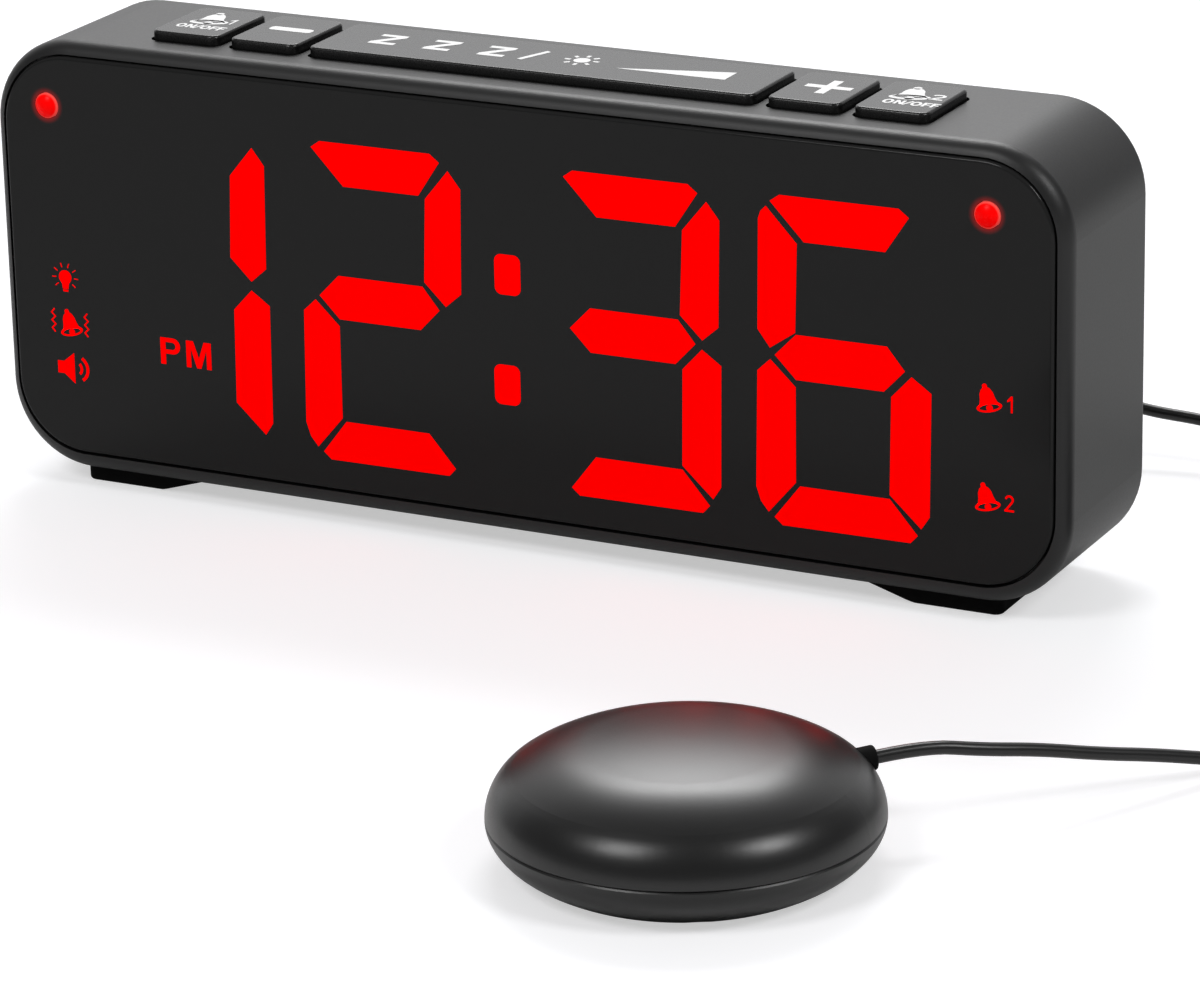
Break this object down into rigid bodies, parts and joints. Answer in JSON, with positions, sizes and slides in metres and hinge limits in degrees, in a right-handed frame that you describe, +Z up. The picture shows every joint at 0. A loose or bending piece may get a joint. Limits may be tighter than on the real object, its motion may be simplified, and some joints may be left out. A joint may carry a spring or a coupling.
{
  "type": "bed shaker alarm clock",
  "caption": "Wide LED alarm clock with rounded corners and top buttons on two feet, with a pebble-shaped bed shaker on a thin lead.",
  "frame": {"origin": "on the table top, at the middle of the box around the clock and the shaker", "axes": "+X along the clock's width to its right, -Y the way the clock faces, +Z up"},
  "size_m": [0.2576, 0.215, 0.0778],
  "materials": {
    "case_plastic": "fine satin grain",
    "button_plastic": "satin",
    "smoked_lens": "smooth gloss",
    "red_diffuser": "lit, translucent",
    "dark_diffuser": "unlit, translucent",
    "red_led": "clear red resin",
    "led_chip": "phosphor resin",
    "reflector_plastic": "matte",
    "board_laminate": "green solder mask",
    "switch_plastic": "moulded",
    "plunger_nylon": "moulded",
    "screw_steel": "zinc plated",
    "motor_steel": "plated can",
    "weight_metal": "sintered",
    "cell_steel": "bright",
    "speaker_metal": "painted",
    "speaker_paper": "pressed paper",
    "ribbon_plastic": "flat cable",
    "foot_rubber": "matte",
    "lead_plastic": "satin, flexible",
    "shaker_plastic": "satin, fine grain"
  },
  "bodies": {
    "clock": {"case_shell": "case_plastic", "rear_cover": "case_plastic", "front_lens": "smoked_lens", "digit_reflector": "reflector_plastic", "lit_segments": "red_diffuser", "dark_segments": "dark_diffuser", "segment_leds": "led_chip", "left_flash_led": "red_led", "right_flash_led": "red_led", "display_board": "board_laminate", "key_board": "board_laminate", "main_board": "board_laminate", "top_switches": "switch_plastic", "rear_switches": "switch_plastic", "volume_switch": "switch_plastic", "shaker_jack": "switch_plastic", "power_inlet": "switch_plastic", "display_ribbon": "ribbon_plastic", "key_ribbon": "ribbon_plastic", "speaker_basket": "speaker_metal", "speaker_cone": "speaker_paper", "cell_holder": "reflector_plastic", "coin_cell": "cell_steel", "case_screws": "screw_steel", "board_screws": "screw_steel", "left_foot": "foot_rubber", "right_foot": "foot_rubber", "clock_lead": "lead_plastic", "lead_coil": "lead_plastic", "shaker_lead": "lead_plastic", "lead_plug": "lead_plastic", "coil_tie": "lead_plastic"},
    "alarm_1": {"alarm_1_button": "button_plastic", "alarm_1_plunger": "plunger_nylon"},
    "minus": {"minus_button": "button_plastic", "minus_plunger": "plunger_nylon"},
    "snooze": {"snooze_bar": "button_plastic", "snooze_plunger": "plunger_nylon"},
    "plus": {"plus_button": "button_plastic", "plus_plunger": "plunger_nylon"},
    "alarm_2": {"alarm_2_button": "button_plastic", "alarm_2_plunger": "plunger_nylon"},
    "time_set": {"time_set_button": "button_plastic", "time_set_plunger": "plunger_nylon"},
    "alarm_mode": {"alarm_mode_button": "button_plastic", "alarm_mode_plunger": "plunger_nylon"},
    "volume": {"volume_knob": "button_plastic"},
    "cap": {"battery_cap": "case_plastic"},
    "shaker": {"shaker_top_shell": "shaker_plastic", "shaker_bottom_shell": "shaker_plastic", "shaker_screws": "screw_steel", "vibration_motor": "motor_steel", "motor_clamp": "screw_steel", "clamp_screws": "screw_steel", "lead_grommet": "foot_rubber"},
    "weight": {"motor_shaft": "motor_steel", "eccentric_weight": "weight_metal"}
  },
  "joints": [
    {"name": "alarm_1_press", "type": "slide", "parent": "clock", "child": "alarm_1", "axis": [0, 0, -1], "range_m": [0, 0.001], "stiffness_N_per_m": 300, "springref_m": -0.0015},
    {"name": "minus_press", "type": "slide", "parent": "clock", "child": "minus", "axis": [0, 0, -1], "range_m": [0, 0.001], "stiffness_N_per_m": 300, "springref_m": -0.0015},
    {"name": "snooze_press", "type": "slide", "parent": "clock", "child": "snooze", "axis": [0, 0, -1], "range_m": [0, 0.001], "stiffness_N_per_m": 300, "springref_m": -0.0015},
    {"name": "plus_press", "type": "slide", "parent": "clock", "child": "plus", "axis": [0, 0, -1], "range_m": [0, 0.001], "stiffness_N_per_m": 300, "springref_m": -0.0015},
    {"name": "alarm_2_press", "type": "slide", "parent": "clock", "child": "alarm_2", "axis": [0, 0, -1], "range_m": [0, 0.001], "stiffness_N_per_m": 300, "springref_m": -0.0015},
    {"name": "time_set_press", "type": "slide", "parent": "clock", "child": "time_set", "axis": [0, -1, 0], "range_m": [0, 0.0008], "stiffness_N_per_m": 300, "springref_m": -0.0015},
    {"name": "alarm_mode_press", "type": "slide", "parent": "clock", "child": "alarm_mode", "axis": [0, -1, 0], "range_m": [0, 0.0008], "stiffness_N_per_m": 300, "springref_m": -0.0015},
    {"name": "volume_slide", "type": "slide", "parent": "clock", "child": "volume", "axis": [1, 0, 0], "range_m": [0, 0.003]},
    {"name": "battery_cap_turn", "type": "hinge", "parent": "clock", "child": "cap", "pos_m": [-0.0165, 0.07985, 0.038], "axis": [0, 1, 0], "range_deg": [0, 50]},
    {"name": "shaker_lift", "type": "slide", "parent": "clock", "child": "shaker", "axis": [0, 0, 1], "range_m": [0, 0.06], "deforming": ["shaker_lead"]},
    {"name": "weight_spin", "type": "hinge", "parent": "shaker", "child": "weight", "pos_m": [0.0737, -0.05355, 0.0086], "axis": [1, 0, 0], "continuous": true}
  ]
}
